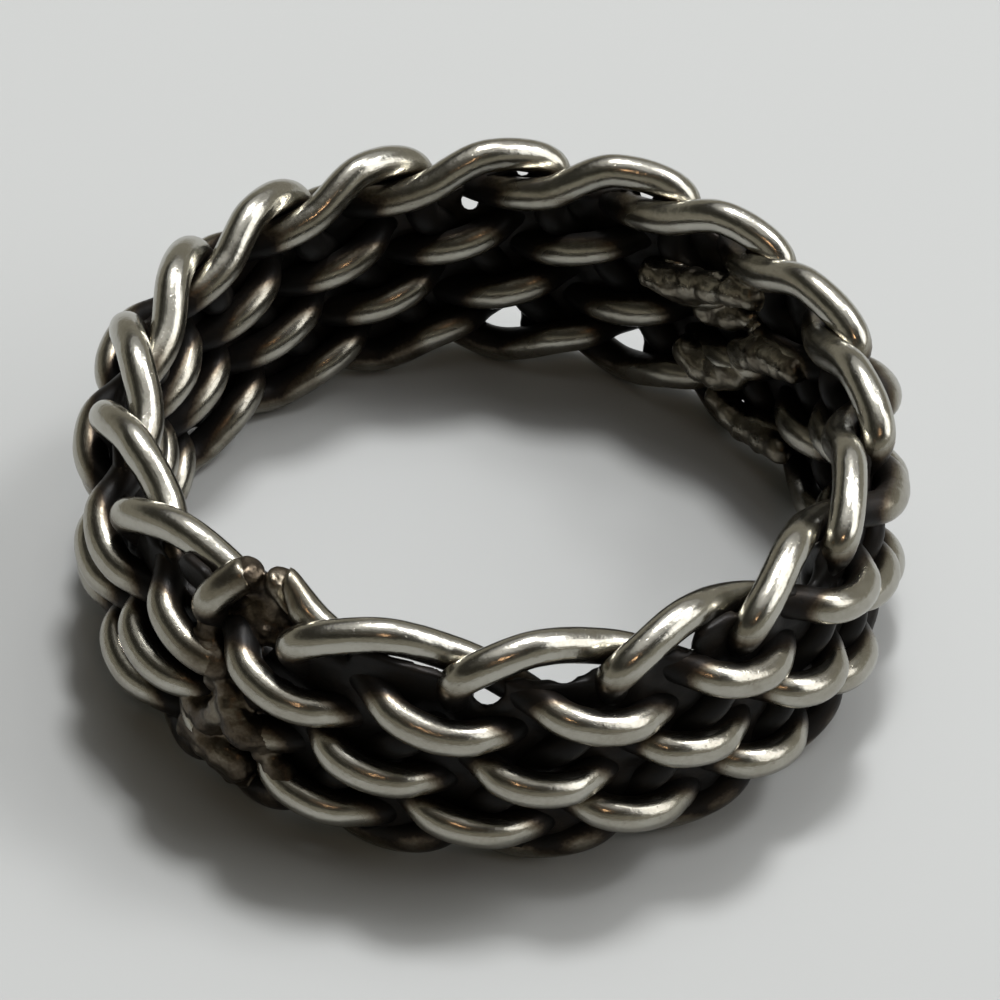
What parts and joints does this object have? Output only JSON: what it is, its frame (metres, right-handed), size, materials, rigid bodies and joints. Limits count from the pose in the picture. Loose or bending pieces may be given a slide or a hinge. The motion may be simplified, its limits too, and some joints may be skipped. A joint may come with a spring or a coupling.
{
  "type": "braided band ring",
  "caption": "Finger ring made of round silver wires braided over and under into an open band and joined end to end by a solder seam.",
  "frame": {"origin": "centre of the finger hole, on the surface that the ring lies on", "axes": "+Z along the hoop's axis, up out of the finger hole; the solder seam is at the front left, between -X and -Y"},
  "size_m": [0.024, 0.0241, 0.0083],
  "materials": {
    "braided_band": "worn oxidised silver, bright on the crowns of the wires and dark brown-black between them"
  },
  "bodies": {
    "root": {"braided_band": "braided_band"}
  },
  "joints": []
}
